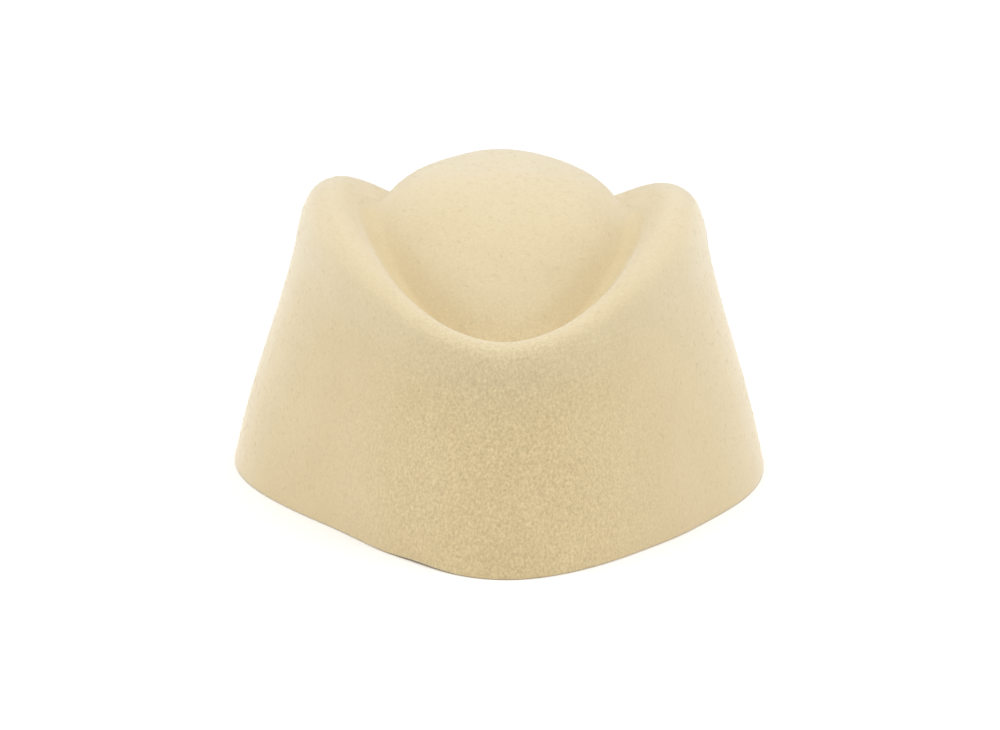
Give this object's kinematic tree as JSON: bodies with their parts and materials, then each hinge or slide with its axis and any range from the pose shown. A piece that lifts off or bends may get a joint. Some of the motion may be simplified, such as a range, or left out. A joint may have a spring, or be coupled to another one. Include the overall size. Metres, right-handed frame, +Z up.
{
  "type": "wool felt hat",
  "caption": "Blocked wool-felt hat in one piece: domed crown in a soft groove, folded crest with an ear on each side and a dip at the front and back, and a flared wall.",
  "frame": {"origin": "on the ground, at the middle of the rim's bounding box", "axes": "+Z up, the hat's front towards -Y, its length along Y, and +X to the right for someone who faces the front"},
  "size_m": [0.174, 0.2238, 0.0985],
  "materials": {
    "wool_felt": "matte cream wool felt with a short soft nap"
  },
  "bodies": {
    "root": {"felt_body": "wool_felt"}
  },
  "joints": []
}
